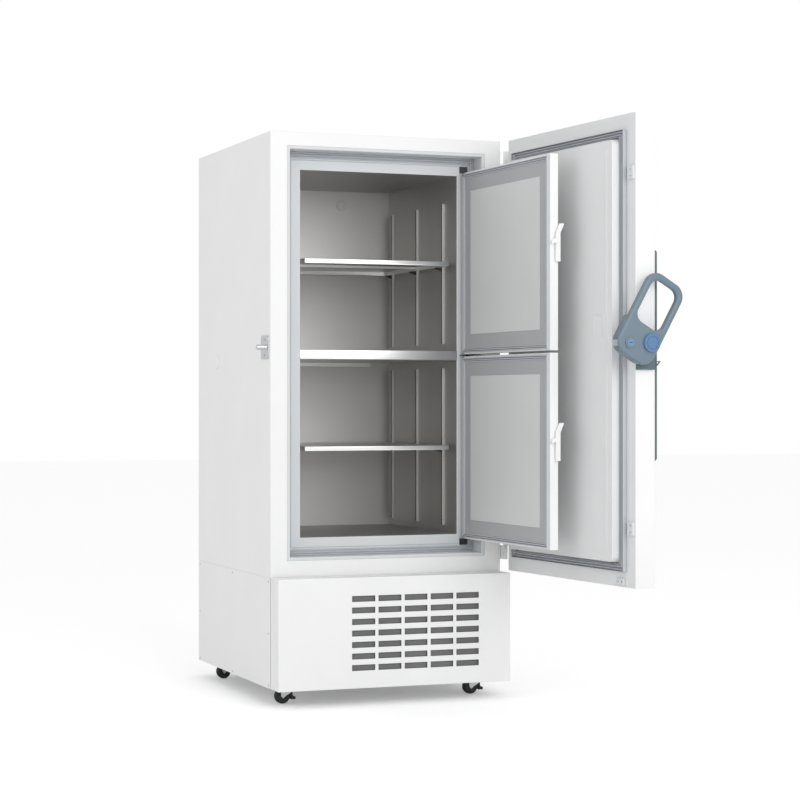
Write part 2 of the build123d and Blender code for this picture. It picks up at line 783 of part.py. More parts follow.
# Castors: top plates with king pins, swivelling forks, wheels and the pedals of the front pair
castors = {"front_left": (-1, castor_front_y), "front_right": (1, castor_front_y),
           "rear_left": (-1, castor_back_y), "rear_right": (1, castor_back_y)}
crown_top = base_floor - castor_plate_thickness - fit
crown_bottom = 2 * castor_wheel + castor_plate_thickness
with BuildPart() as castor_plates:
    for side, y in castors.values():
        with BuildSketch(level(base_floor)) as plate:
            with Locations((side * castor_x, y)):
                Rectangle(castor_plate, castor_plate)
        extrude(plate.sketch, amount=-castor_plate_thickness)
        disc(level(base_floor), (side * castor_x, y), castor_king_pin, crown_bottom - base_floor)
save(castor_plates, "castor_plates")

for name, (side, y) in castors.items():
    x = side * castor_x
    axle_x = x - castor_trail
    cheek_inner = castor_wheel_width / 2 + castor_cheek_gap
    with BuildPart() as fork:
        disc(level(crown_bottom), (x, y), castor_king_pin * 4, crown_top - crown_bottom)
        for way in (-1, 1):
            cheek_back = y + way * (cheek_inner + castor_cheek / 2) + castor_cheek / 2
            with BuildSketch(facing_front(cheek_back)) as cheek:
                with BuildLine():
                    Polyline((x - castor_trail - castor_axle * 2, crown_top),
                             (axle_x - castor_axle * 2, castor_wheel),
                             (axle_x, castor_wheel - castor_axle * 2),
                             (axle_x + castor_axle * 2, castor_wheel),
                             (x + pedal_pivot_out + castor_axle, pedal_pivot_z - castor_axle),
                             (x + pedal_pivot_out + castor_axle, crown_top), close=True)
                make_face()
            extrude(cheek.sketch, amount=castor_cheek)
        disc(facing_front(y + cheek_inner), (axle_x, castor_wheel), castor_axle, 2 * cheek_inner)
        if y == castor_front_y:
            disc(facing_front(y + cheek_inner), (x + pedal_pivot_out, pedal_pivot_z),
                 castor_axle / 2, 2 * cheek_inner)
        disc(level(crown_bottom), (x, y), castor_king_pin + running, crown_top - crown_bottom, Mode.SUBTRACT)
    save(fork, f"castor_fork_{name}")

    with BuildPart() as wheel:
        disc(facing_front(y + castor_wheel_width / 2), (axle_x, castor_wheel), castor_wheel, castor_wheel_width)
        chamfer(wheel.edges().filter_by(GeomType.CIRCLE), length=castor_axle)
        disc(facing_front(y + castor_wheel_width / 2), (axle_x, castor_wheel), castor_axle + running,
             castor_wheel_width, Mode.SUBTRACT)
    save(wheel, f"castor_wheel_{name}")

    if y == castor_front_y:
        with BuildPart() as pedal:
            px, pz, reach = x + pedal_pivot_out, pedal_pivot_z, x + pedal_reach
            with BuildSketch(facing_front(y + castor_wheel_width / 2)) as arm:
                with BuildLine():
                    Polyline((px - castor_axle, pz + castor_axle), (px + castor_axle, pz + castor_axle),
                             (px + castor_axle * 1.5, castor_wheel), (reach, castor_wheel - castor_axle),
                             (reach, pedal_bottom), (px, pedal_bottom),
                             (px, castor_wheel), (px - castor_axle, pz), close=True)
                make_face()
            extrude(arm.sketch, amount=castor_wheel_width)
            disc(facing_front(y + castor_wheel_width / 2), (px, pz), castor_axle / 2 + running,
                 castor_wheel_width, Mode.SUBTRACT)
        save(pedal, f"castor_pedal_{name}")

# Outer door, drawn closed and carried round its hinge to the open position
door_bottom = body_bottom + door_bottom_step
door_back = front_y - door_gap
door_front = door_back - door_thickness
outer_hinge = (half_width + door_hinge_out, front_y - door_hinge_forward)
door_edges = (-half_width, half_width, door_bottom, cabinet_height)


def on_outer(plane):
    """Plane of the closed outer door, carried to the open door."""
    return swung(plane, outer_hinge, door_open)


def facing_back(y):
    """Upright plane at depth y, drawn in -X and Z, with its normal to the back."""
    return Plane((0, y, 0), x_dir=(-1, 0, 0), z_dir=(0, 1, 0))


# Outer door panel: folded steel pan, open on its inner side
with BuildPart() as door_outer_panel:
    block(on_outer(facing_front(door_back)), door_edges[:2], door_edges[2:], door_thickness)
    fillet(door_outer_panel.edges().filter_by(Axis.Z), radius=door_sheet * 2)
    pan_inside = shrink(door_edges, door_sheet)
    block(on_outer(facing_front(door_back)), pan_inside[:2], pan_inside[2:], door_thickness - door_sheet * 2,
          Mode.SUBTRACT)
save(door_outer_panel, "door_outer_panel")

# Outer door inner panel: moulded sheet with the tapered plug and its relief
plug_edges = (-half_width + plug_free_margin, half_width - plug_hinge_margin,
              door_bottom + plug_end_margin, cabinet_height - plug_end_margin)


def plug(start, inset, depth, mode=Mode.ADD):
    """Tapered block on the inner side of the door, its outline inset from the plug's foot."""
    edges = shrink(plug_edges, inset)
    with BuildSketch(on_outer(facing_back(start))) as foot_outline:
        with Locations((-(edges[0] + edges[1]) / 2, (edges[2] + edges[3]) / 2)):
            RectangleRounded(edges[1] - edges[0], edges[3] - edges[2], plug_corner - inset / 2)
    extrude(foot_outline.sketch, amount=depth, taper=plug_taper, mode=mode)


with BuildPart() as door_inner_panel:
    block(on_outer(facing_front(door_back)), pan_inside[:2], pan_inside[2:], door_skin)
    plug(door_back, 0, plug_depth)
    plug(door_back + plug_depth, plug_panel_inset, plug_panel_height)
    with BuildSketch(on_outer(facing_back(door_back + plug_depth + plug_panel_height))) as vent:
        with Locations((-vent_x, vent_z)):
            Rectangle(vent_width, vent_height)
            Rectangle(vent_width - 2 * vent_rim, vent_height - 2 * vent_rim, mode=Mode.SUBTRACT)
    extrude(vent.sketch, amount=vent_rim / 2)
    plug(door_back - door_skin, door_skin, plug_depth, Mode.SUBTRACT)
save(door_inner_panel, "door_inner_panel")

# Outer door foam: fills the pan and the plug
with BuildPart() as door_foam:
    block(on_outer(facing_front(door_back - door_skin)), pan_inside[:2], pan_inside[2:],
          door_thickness - door_skin - door_sheet * 2)
    plug(door_back - door_skin, door_skin, plug_depth)
save(door_foam, "door_foam")

# Outer door seal: soft ring between the door and the front of the cabinet
seal_edges = shrink(door_edges, door_seal_inset)
with BuildPart() as door_seal:
    ring(on_outer(facing_front(front_y - fit)), seal_edges, shrink(seal_edges, door_seal_width / 3),
         door_gap - fit)
    ring(on_outer(facing_front(front_y - fit)), seal_edges, shrink(seal_edges, door_seal_width),
         door_gap / 4)
    ring(on_outer(facing_front(door_back + door_gap / 4)), seal_edges, shrink(seal_edges, door_seal_width),
         door_gap / 4)
save(door_seal, "door_seal")

# Bumper blocks: two beside the free edge and one lying at the lower edge
bumper_side_x = -half_width + bumper_inset
bumpers = ((bumper_side_x, bumper_lower_z, bumper_width, bumper_height),
           (bumper_side_x, bumper_upper_z, bumper_width, bumper_height),
           (bumper_end_x, door_bottom + bumper_end_rise, bumper_height, bumper_width * 2 / 3))
with BuildPart() as door_bumpers:
    for x, z, wide, tall in bumpers:
        with BuildSketch(on_outer(facing_back(door_back))) as pad:
            with Locations((-x, z)):
                Rectangle(wide, tall)
                if tall > wide:
                    with GridLocations(0, tall / 2, 1, 2):
                        Circle(bumper_hole, mode=Mode.SUBTRACT)
                else:
                    with GridLocations(wide / 2, 0, 2, 1):
                        Circle(bumper_hole, mode=Mode.SUBTRACT)
        extrude(pad.sketch, amount=bumper_depth)
save(door_bumpers, "door_bumpers")

# Control fascia: long moulded strip on the front of the door with the display window
fascia_x = (-half_width + fascia_margin, -half_width + fascia_margin + fascia_width)
fascia_middle = sum(fascia_x) / 2
display_x = (fascia_middle - display_width / 2, fascia_middle + display_width / 2)
display_edges = (display_z - display_height / 2, display_z + display_height / 2)
with BuildPart() as door_fascia:
    block(on_outer(facing_front(door_front)), fascia_x, (fascia_bottom, fascia_top), fascia_thickness)
    top_corner = door_fascia.faces().sort_by(Axis.Z)[-1].edges().sort_by(Axis.X)[-1]
    fillet(top_corner, radius=fascia_thickness * 0.9)
    bottom_corner = door_fascia.faces().sort_by(Axis.Z)[0].edges().sort_by(Axis.X)[-1]
    chamfer(bottom_corner, length=fascia_thickness * 0.8)
    block(on_outer(facing_front(door_front)), display_x, display_edges, fascia_thickness, Mode.SUBTRACT)
save(door_fascia, "door_fascia")

# Control display: touch glass set into the fascia
with BuildPart() as control_display:
    block(on_outer(facing_front(door_front)), display_x, display_edges, fascia_thickness - display_depth)
save(control_display, "control_display")

# Outer hinges: bracket and pin on the cabinet, leaf on the door, each with half of the barrel
arm_start = (half_width + hinge_plate / 2, front_y + hinge_barrel)
leaf_start = (half_width + hinge_plate / 2, door_back - hinge_plate)


def hinge_half(place, limits, arm_from, barrel_z, bore):
    """Plate on the side, an arm to the barrel and half of the barrel, on planes given by place."""
    block(place(level(barrel_z[2])), (half_width, half_width + hinge_plate), limits, barrel_z[3] - barrel_z[2])
    span = Vector(*outer_hinge) - Vector(*arm_from)
    with BuildSketch(place(level(barrel_z[0]))) as knuckle:
        with Locations(((arm_from[0] + outer_hinge[0]) / 2, (arm_from[1] + outer_hinge[1]) / 2)):
            Rectangle(span.length, hinge_plate, rotation=degrees(atan2(span.Y, span.X)))
        with Locations(outer_hinge):
            Circle(hinge_barrel)
            if bore:
                Circle(bore, mode=Mode.SUBTRACT)
    extrude(knuckle.sketch, amount=barrel_z[1] - barrel_z[0])


with BuildPart() as outer_hinge_brackets:
    for z in (hinge_lower_z, hinge_upper_z):
        hinge_half(lambda plane: plane, (front_y + hinge_barrel, front_y + hinge_leaf_reach), arm_start,
                   (z, z + hinge_height / 2, z, z + hinge_height), 0)
        disc(level(z), outer_hinge, hinge_pin, hinge_height)
save(outer_hinge_brackets, "outer_hinge_brackets")

with BuildPart() as door_hinge_leaves:
    for z in (hinge_lower_z, hinge_upper_z):
        hinge_half(on_outer, (door_back - hinge_leaf_reach, door_back - hinge_plate), leaf_start,
                   (z + hinge_height / 2 + fit, z + hinge_height, z, z + hinge_height), hinge_pin + running)
save(door_hinge_leaves, "door_hinge_leaves")

# Handle base: bracket on the free edge of the door with the handle's shaft and the padlock ring
pivot_y = front_y + handle_pivot_y
base_y = (door_front + handle_base_front, door_back - fit)
base_z = (handle_pivot_z - handle_base_below, handle_pivot_z + handle_base_above)
with BuildPart() as handle_base:
    block(on_outer(facing_right(-half_width)), base_y, base_z, handle_gap * -0.9)
    disc(on_outer(facing_right(-half_width)), (pivot_y, handle_pivot_z), handle_shaft,
         -handle_gap - handle_depth + fit)
    ring_top = base_z[0] + padlock_ring_height
    with BuildSketch(on_outer(facing_right(-half_width - handle_gap / 2))) as loop:
        with BuildLine():
            Polyline((base_y[0], ring_top), (base_y[0] - padlock_ring_reach, ring_top),
                     (base_y[0], base_z[0]), close=True)
        make_face()
        offset(amount=-padlock_ring_wire, kind=Kind.INTERSECTION, mode=Mode.SUBTRACT)
    extrude(loop.sketch, amount=padlock_ring_wire)
save(handle_base, "handle_base")

# Latch handle: loop and hook body with the cam track that draws the door shut over the strike pin.
# Its own axes are u along its lower edge and v along its length, with the shaft at their origin.
tilt = radians(handle_tilt)
lever_centre = (handle_width / 2 - handle_pivot_from_edge, handle_length / 2 - handle_pivot_from_end)
hole_bottom = handle_hole_start - handle_pivot_from_end
hole_top = handle_length - handle_pivot_from_end - handle_bar
pin_travel = Vector(strike_y - handle_pivot_y, strike_z - handle_pivot_z)
pin_angle = degrees(atan2(pin_travel.Y, pin_travel.X)) - handle_tilt
track_width = 2 * (strike_pin_radius + cam_clearance)


def on_lever(outward):
    """Plane in the handle's axes, a distance outward from the free edge of the door."""
    drawn = Plane((-half_width - outward, pivot_y, handle_pivot_z), x_dir=(0, cos(tilt), sin(tilt)),
                  z_dir=(1, 0, 0))
    return on_outer(drawn)


lever_face = handle_gap + handle_depth
lock_centre = Vector(pin_travel.length, 0).rotate(Axis.Z, pin_angle)
with BuildPart() as handle_lever:
    with BuildSketch(on_lever(lever_face)):
        with Locations(lever_centre):
            RectangleRounded(handle_width, handle_length, handle_corner)
        with Locations((lever_centre[0], (hole_bottom + hole_top) / 2)):
            RectangleRounded(handle_width - 2 * handle_bar, hole_top - hole_bottom, handle_hole_corner,
                             mode=Mode.SUBTRACT)
    extrude(amount=handle_bar)
    outward = on_lever(0).z_dir
    loop_faces = handle_lever.faces().filter_by(on_lever(0)).sort_by(Axis((0, 0, 0), outward))
    fillet(loop_faces[0].edges(), radius=handle_bar_round)
    loop_faces = handle_lever.faces().filter_by(on_lever(0)).sort_by(Axis((0, 0, 0), outward))
    chamfer(loop_faces[-1].edges(), length=handle_bar_round / 2)
    with BuildSketch(on_lever(lever_face - handle_bar / 2)):
        with Locations(lever_centre):
            RectangleRounded(handle_width - 2 * handle_hood_inset, handle_length - 2 * handle_hood_inset,
                             handle_corner - handle_hood_inset)
        with Locations((lever_centre[0], hole_bottom - handle_hood_inset + handle_length)):
            Rectangle(handle_width * 2, handle_length * 2, mode=Mode.SUBTRACT)
    extrude(amount=handle_depth - handle_bar / 2)
    disc(on_lever(lever_face), lock_centre, lock_bezel_radius, -lock_bezel_height)
    disc(on_lever(lever_face), (0, 0), handle_shaft + running, handle_depth, Mode.SUBTRACT)
    with BuildSketch(on_lever(handle_gap)) as cam_track:
        with BuildLine():
            path = CenterArc((0, 0), pin_travel.length, pin_angle, handle_turn)
        SlotArc(path, track_width)
        with Locations(lock_centre + Vector(handle_width / 2, 0).rotate(Axis.Z, -handle_tilt)):
            Rectangle(handle_width, track_width, rotation=-handle_tilt)
    extrude(cam_track.sketch, amount=handle_gap - strike_pin_length - cam_depth_clearance,
            mode=Mode.SUBTRACT)
    disc(on_lever(lever_face + lock_bezel_height), lock_centre, lock_radius + running,
         lock_length - lock_proud, Mode.SUBTRACT)
save(handle_lever, "handle_lever")

# Handle knob: ringed cap over the shaft
with BuildPart() as handle_knob:
    disc(on_lever(lever_face), (0, 0), knob_radius, -knob_height)
    chamfer(handle_knob.edges(), length=knob_height / 4)
    with BuildSketch(on_lever(lever_face + knob_height)):
        Circle(knob_radius * 0.72)
        Circle(knob_radius * 0.62, mode=Mode.SUBTRACT)
    extrude(amount=knob_height / 5, mode=Mode.SUBTRACT)
save(handle_knob, "handle_knob")

# Lock cylinder: turns in the bezel of the handle, with a key slot across its face
with BuildPart() as lock_cylinder:
    disc(on_lever(lever_face + lock_bezel_height + lock_proud), lock_centre, lock_radius, lock_length)
    with BuildSketch(on_lever(lever_face + lock_bezel_height + lock_proud)):
        with Locations(lock_centre):
            Rectangle(lock_radius, lock_radius / 5, rotation=-handle_tilt)
    extrude(amount=lock_length / 2, mode=Mode.SUBTRACT)
save(lock_cylinder, "lock_cylinder")

# Inner doors, drawn closed and carried round their own hinge line
inner_hinge = (cavity_half + inner_hinge_x_past_cavity, front_y + inner_hinge_y)
inner_front = front_y + inner_door_front
inner_back = inner_front + inner_door_thickness
inner_x = (-cavity_half - inner_overlap_left, cavity_half + inner_overlap_right)
inner_levels = {"upper": (inner_split + inner_split_gap / 2, cavity_top + inner_overlap_top, latch_upper_z),
                "lower": (cavity_bottom - inner_overlap_bottom, inner_split - inner_split_gap / 2,
                          latch_lower_z)}


def on_inner(plane):
    """Plane of a closed inner door, carried to the open door."""
    return swung(plane, inner_hinge, inner_door_open)


for name, (low, high, latch_z) in inner_levels.items():
    # Insulated panel with a raised field on its cold side and a stud for the latch
    with BuildPart() as inner_door:
        block(on_inner(level(low)), inner_x, (inner_front, inner_back), high - low)
        fillet(inner_door.edges().filter_by(Axis.Z), radius=inner_relief)
        field = shrink(inner_x + (low, high), inner_border)
        block(on_inner(facing_front(inner_back + inner_relief)), field[:2], field[2:], inner_relief)
        disc(on_inner(level(low)), inner_hinge, inner_hinge_pin + running, inner_hinge_pin_length + fit,
             Mode.SUBTRACT)
        disc(on_inner(level(high)), inner_hinge, inner_hinge_pin + running, -inner_hinge_pin_length - fit,
             Mode.SUBTRACT)
        disc(on_inner(facing_right(inner_x[0])), (front_y + latch_pivot_y, latch_z), latch_pivot,
             -latch_gap - latch_thickness)
    save(inner_door, f"inner_door_{name}")

    # Soft ring between the panel and the ledge
    with BuildPart() as inner_seal:
        seal_ring = shrink(inner_x + (low, high), inner_seal_inset)
        ring(on_inner(facing_front(ledge_y - fit)), seal_ring, shrink(seal_ring, inner_seal_width),
             ledge_y - fit - inner_back)
    save(inner_seal, f"inner_seal_{name}")

    # Latch lever with the nose that drops behind the keeper
    with BuildPart() as inner_latch:
        lever_y, bar = front_y + latch_pivot_y, latch_bar / 2
        nose_start = latch_nose_reach - latch_nose
        latch_plane = Plane((inner_x[0] - latch_gap - latch_thickness, lever_y, latch_z),
                            x_dir=(0, 1, 0), z_dir=(1, 0, 0))
        with BuildSketch(on_inner(latch_plane)) as lever:
            with BuildLine():
                Polyline((-bar, -latch_below), (bar, -latch_below), (bar, -keeper_clearance),
                         (nose_start, -keeper_clearance), (nose_start, -latch_nose / 2),
                         (latch_nose_reach, -latch_nose / 2), (latch_nose_reach, latch_nose),
                         (bar, latch_nose * 2), (bar, latch_above / 2),
                         (bar - latch_lean, latch_above), (-bar - latch_lean, latch_above),
                         (-bar, latch_above / 2), close=True)
            make_face()
            Circle(latch_pivot + running, mode=Mode.SUBTRACT)
        extrude(lever.sketch, amount=latch_thickness)
    save(inner_latch, f"inner_latch_{name}")

# Inner hinge brackets: black tabs with upright pins above, between and below the inner doors
inner_pins = ((inner_levels["upper"][1] + fit, (-1,)),
              (inner_split - inner_bracket_sheet / 2, (-1, 1)),
              (inner_levels["lower"][0] - fit - inner_bracket_sheet, (1,)))
with BuildPart() as inner_hinge_brackets:
    for tab_z, ways in inner_pins:
        tab_x = (inner_hinge[0] - inner_bracket_width * 0.7, inner_hinge[0] + inner_bracket_width * 0.3)
        block(level(tab_z), tab_x, (inner_hinge[1] - inner_hinge_pin * 2, ledge_y), inner_bracket_sheet)
        for way in ways:
            pin_base = tab_z + (inner_bracket_sheet if way > 0 else 0)
            reach = inner_hinge_pin_length if len(ways) == 1 else inner_hinge_pin_length - fit
            disc(level(pin_base), inner_hinge, inner_hinge_pin, way * reach)
        if len(ways) == 1:
            plate_z = (tab_z, tab_z + inner_bracket_height) if ways[0] < 0 else \
                (tab_z + inner_bracket_sheet - inner_bracket_height, tab_z + inner_bracket_sheet)
            block(facing_front(ledge_y), tab_x, plate_z, inner_bracket_sheet)
save(inner_hinge_brackets, "inner_hinge_brackets")
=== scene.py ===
# %% [markdown]
# # An upright ultra low temperature freezer with its doors open
#
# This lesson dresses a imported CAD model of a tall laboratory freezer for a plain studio
# picture. The CAD gives every solid its place and size. The cells below add finishes, soft
# edges, ribbed seals and slotted strips, each in the CAD's own frame: metres, +Z up, +X to
# the right of the cabinet's front and +Y from the front to the back.

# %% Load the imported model
import json
from math import pi, radians
import bmesh
import bpy
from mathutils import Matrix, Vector

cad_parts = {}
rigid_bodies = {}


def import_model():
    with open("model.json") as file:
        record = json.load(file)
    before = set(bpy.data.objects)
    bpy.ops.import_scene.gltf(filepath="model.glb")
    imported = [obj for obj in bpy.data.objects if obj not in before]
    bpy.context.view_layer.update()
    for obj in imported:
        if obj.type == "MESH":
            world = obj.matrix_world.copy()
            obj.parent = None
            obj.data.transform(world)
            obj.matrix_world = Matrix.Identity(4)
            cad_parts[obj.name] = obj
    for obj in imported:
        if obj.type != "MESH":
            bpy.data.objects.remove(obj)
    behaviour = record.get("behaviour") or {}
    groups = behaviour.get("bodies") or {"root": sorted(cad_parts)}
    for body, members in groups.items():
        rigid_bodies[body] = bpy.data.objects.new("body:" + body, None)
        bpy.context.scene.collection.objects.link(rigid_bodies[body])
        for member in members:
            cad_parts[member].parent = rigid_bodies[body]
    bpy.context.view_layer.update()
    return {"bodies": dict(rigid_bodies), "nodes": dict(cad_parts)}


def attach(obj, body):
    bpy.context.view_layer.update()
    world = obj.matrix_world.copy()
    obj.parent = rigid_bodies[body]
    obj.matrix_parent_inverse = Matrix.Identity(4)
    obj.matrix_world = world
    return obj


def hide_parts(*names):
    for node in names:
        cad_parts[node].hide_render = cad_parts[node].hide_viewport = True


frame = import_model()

nodes = frame["nodes"]

# %% [markdown]
# ## Camera
#
# A product photographer stands a few metres off with a long lens, so that perspective stays
# gentle. The camera here is level, a little above half the cabinet's height, and is turned to
# the right, so that it sees the front and the left side. Being level, it keeps uprights
# upright, and a very small shift sets the height of the picture.

# %% Camera
camera_turn = -20.917

view = bpy.data.cameras.new("studio_camera")
view.lens = 96.775
view.sensor_width = 36
view.shift_y = 0.0018
camera = bpy.data.objects.new("studio_camera", view)
camera.location = (-2.651, -7.514, 1.050)
camera.rotation_euler = (radians(90), 0, radians(camera_turn))
bpy.context.scene.collection.objects.link(camera)
bpy.context.scene.camera = camera
print("camera at", tuple(round(place, 3) for place in camera.location))

# %% [markdown]
# ## Studio
#
# White goods are lit by large soft sources, because a small one would burn a spot into every
# pale panel. The world gives an even fill that is a little less than white, while the camera
# and clear materials see pure white behind the object.

# %% World
fill_strength = 0.80
white = (1.0, 1.0, 1.0, 1.0)

world = bpy.data.worlds.new("studio_world")
bpy.context.scene.world = world
world.use_nodes = True
sky = world.node_tree
sky.nodes.clear()
fill = sky.nodes.new("ShaderNodeBackground")
fill.inputs["Color"].default_value = white
fill.inputs["Strength"].default_value = fill_strength
seen = sky.nodes.new("ShaderNodeBackground")
seen.inputs["Color"].default_value = white
seen.inputs["Strength"].default_value = 1.0
rays = sky.nodes.new("ShaderNodeLightPath")
either = sky.nodes.new("ShaderNodeMath")
either.operation = "MAXIMUM"
choose = sky.nodes.new("ShaderNodeMixShader")
out = sky.nodes.new("ShaderNodeOutputWorld")
sky.links.new(rays.outputs["Is Camera Ray"], either.inputs[0])
sky.links.new(rays.outputs["Is Transmission Ray"], either.inputs[1])
sky.links.new(either.outputs[0], choose.inputs["Fac"])
sky.links.new(fill.outputs[0], choose.inputs[1])
sky.links.new(seen.outputs[0], choose.inputs[2])
sky.links.new(choose.outputs[0], out.inputs["Surface"])
bpy.context.scene.view_settings.view_transform = "Standard"
print("world fill", fill_strength)


# %% [markdown]
# Two rectangular lamps add direction. The one in front makes the front faces the brightest,
# and a weaker one keeps the left side from falling away. Each lamp shines along its own −Z,
# so its turn is found from the line between its place and the point it faces.

# %% Lamps
def lamp(name, place, aim, width, height, power):
    """Wide soft lamp at a place, facing a point."""
    light = bpy.data.lights.new(name, "AREA")
    light.shape = "RECTANGLE"
    light.size = width
    light.size_y = height
    light.energy = power
    holder = bpy.data.objects.new(name, light)
    holder.location = place
    holder.rotation_euler = (Vector(aim) - Vector(place)).to_track_quat("-Z", "Y").to_euler()
    bpy.context.scene.collection.objects.link(holder)


lamp("front_softbox", (0.6, -6.0, 2.8), (0, 0, 1.0), 4.0, 3.0, 104)
lamp("left_softbox", (-4.5, -1.5, 2.6), (0, -0.2, 1.0), 3.0, 3.0, 22)
print("two soft lamps")


# %% [markdown]
# The floor is matte white paper. A little light of its own, which only the camera sees, lifts
# it to the white of the background and leaves the soft shadow under the cabinet.

# %% Floor
paper_glow = 0.24
half_floor = 30


def floor_material():
    """Matte white paper that reads as white to the camera away from the shadow."""
    material = bpy.data.materials.new("paper_floor")
    material.use_nodes = True
    tree = material.node_tree
    paper = tree.nodes["Principled BSDF"]
    paper.inputs["Base Color"].default_value = (0.90, 0.90, 0.90, 1)
    paper.inputs["Roughness"].default_value = 0.9
    paper.inputs["Emission Color"].default_value = white
    path = tree.nodes.new("ShaderNodeLightPath")
    level = tree.nodes.new("ShaderNodeMath")
    level.operation = "MULTIPLY"
    level.inputs[1].default_value = paper_glow
    tree.links.new(path.outputs["Is Camera Ray"], level.inputs[0])
    tree.links.new(level.outputs[0], paper.inputs["Emission Strength"])
    return material


sheet = bmesh.new()
bmesh.ops.create_grid(sheet, x_segments=1, y_segments=1, size=half_floor)
floor_mesh = bpy.data.meshes.new("paper_floor")
sheet.to_mesh(floor_mesh)
sheet.free()
floor = bpy.data.objects.new("paper_floor", floor_mesh)
floor.data.materials.append(floor_material())
bpy.context.scene.collection.objects.link(floor)
print("floor", tuple(floor.dimensions[:2]))

# %% [markdown]
# ## Finishes
#
# Powder coat, moulded plastic, rubber and sheet steel all break up a highlight at a scale of
# about a millimetre, and all drift a little in tone over a hand's width. One helper makes
# both: a slow noise mixes two close tones and two close roughnesses, and a fine noise gives
# the bump. The noises read object coordinates, which are the room's own at rest. A stretched
# mapping draws the noise out into the long streaks of brushed metal.

# %% A helper for finishes
tone_ends = (0.3, 0.7)
roughness_swing = 0.06
least_roughness = 0.02
grain_height = 0.0004


def finish(name, colour, roughness, metallic=0.0, grain=700, relief=0.10, drift=5, spread=0.03,
           stretch=(1, 1, 1)):
    """Material with a slow drift of tone and roughness and a fine grain."""
    material = bpy.data.materials.new(name)
    material.use_nodes = True
    tree = material.node_tree
    shader = tree.nodes["Principled BSDF"]
    shader.inputs["Metallic"].default_value = metallic
    place = tree.nodes.new("ShaderNodeTexCoord")
    mapping = tree.nodes.new("ShaderNodeMapping")
    mapping.inputs["Scale"].default_value = stretch
    tree.links.new(place.outputs["Object"], mapping.inputs["Vector"])
    clouds = tree.nodes.new("ShaderNodeTexNoise")
    clouds.inputs["Scale"].default_value = drift
    clouds.inputs["Detail"].default_value = 4
    tree.links.new(mapping.outputs["Vector"], clouds.inputs["Vector"])
    tones = tree.nodes.new("ShaderNodeValToRGB")
    for element, end, sign in zip(tones.color_ramp.elements, tone_ends, (-1, 1)):
        element.position = end
        element.color = [min(1, part * (1 + sign * spread)) for part in colour] + [1]
    tree.links.new(clouds.outputs["Fac"], tones.inputs["Fac"])
    tree.links.new(tones.outputs["Color"], shader.inputs["Base Color"])
    polish = tree.nodes.new("ShaderNodeMapRange")
    polish.inputs["To Min"].default_value = max(least_roughness, roughness - roughness_swing)
    polish.inputs["To Max"].default_value = min(1.0, roughness + roughness_swing)
    tree.links.new(clouds.outputs["Fac"], polish.inputs["Value"])
    tree.links.new(polish.outputs["Result"], shader.inputs["Roughness"])
    specks = tree.nodes.new("ShaderNodeTexNoise")
    specks.inputs["Scale"].default_value = grain
    specks.inputs["Detail"].default_value = 2
    tree.links.new(mapping.outputs["Vector"], specks.inputs["Vector"])
    bump = tree.nodes.new("ShaderNodeBump")
    bump.inputs["Strength"].default_value = relief
    bump.inputs["Distance"].default_value = grain_height
    tree.links.new(specks.outputs["Fac"], bump.inputs["Height"])
    tree.links.new(bump.outputs["Normal"], shader.inputs["Normal"])
    return material


# %% Finishes of the cabinet and the doors
white_coat = finish("white_powder_coat", (0.84, 0.845, 0.84), 0.42, spread=0.012)
pale_moulding = finish("pale_grey_moulding", (0.66, 0.675, 0.69), 0.45, relief=0.06, spread=0.015)
door_lining = finish("door_lining", (0.74, 0.745, 0.75), 0.45, relief=0.06, spread=0.015)
grey_rubber = finish("grey_seal_rubber", (0.50, 0.52, 0.545), 0.60, grain=1200, relief=0.15)
steel = finish("brushed_liner_steel", (0.56, 0.553, 0.54), 0.45, metallic=1.0, grain=260,
               relief=0.12, drift=2, spread=0.04, stretch=(0.04, 0.04, 1))
shelf_steel = finish("shelf_steel", (0.74, 0.74, 0.735), 0.33, metallic=1.0, grain=260,
                     relief=0.12, drift=3, spread=0.03, stretch=(1, 0.04, 1))

# %% Finishes of the machinery and the castors
zinc = finish("zinc_plate", (0.62, 0.63, 0.65), 0.34, metallic=1.0, grain=400, drift=30)
black_paint = finish("black_enamel", (0.022, 0.022, 0.024), 0.35)
black_nylon = finish("black_nylon", (0.020, 0.020, 0.021), 0.5, relief=0.2)
foam = finish("cast_foam", (0.78, 0.70, 0.48), 0.9, grain=300, relief=0.4, spread=0.06)
copper = finish("drawn_copper", (0.80, 0.43, 0.28), 0.3, metallic=1.0)
aluminium = finish("fin_aluminium", (0.70, 0.71, 0.72), 0.35, metallic=1.0)
mat = finish("filter_mesh", (0.17, 0.17, 0.17), 0.8, grain=900, relief=0.8, spread=0.1)
tread = finish("castor_tread", (0.018, 0.018, 0.019), 0.55, relief=0.2)
grey_case = finish("grey_case_paint", (0.50, 0.51, 0.52), 0.45)
print(len(bpy.data.materials), "materials")

# %% Finishes of the handle and the display
handle_plastic = finish("handle_plastic", (0.15, 0.205, 0.25), 0.34, relief=0.04, spread=0.05)
handle_hood = finish("handle_hood_plastic", (0.10, 0.15, 0.17), 0.40, relief=0.05, spread=0.05)
knob_plastic = finish("knob_plastic", (0.10, 0.20, 0.36), 0.30, relief=0.04, spread=0.06)
lock_plastic = finish("lock_plastic", (0.14, 0.25, 0.44), 0.28, relief=0.04, spread=0.06)
fascia_plastic = finish("fascia_plastic", (0.115, 0.14, 0.15), 0.30, relief=0.03)
glass_black = finish("display_glass", (0.012, 0.014, 0.018), 0.08, relief=0.0)


# %% [markdown]
# ## Dressing the CAD
#
# A CAD mesh isn't changed, so its finish is linked to the object and not to the mesh. Nodes
# that later get a copy with soft edges are dressed here too, and the copy takes their finish.

# %% Dress the CAD nodes
def dress(material, *names):
    """Give CAD nodes a finish."""
    for name in names:
        for slot in nodes[name].material_slots:
            slot.link = "OBJECT"
            slot.material = material


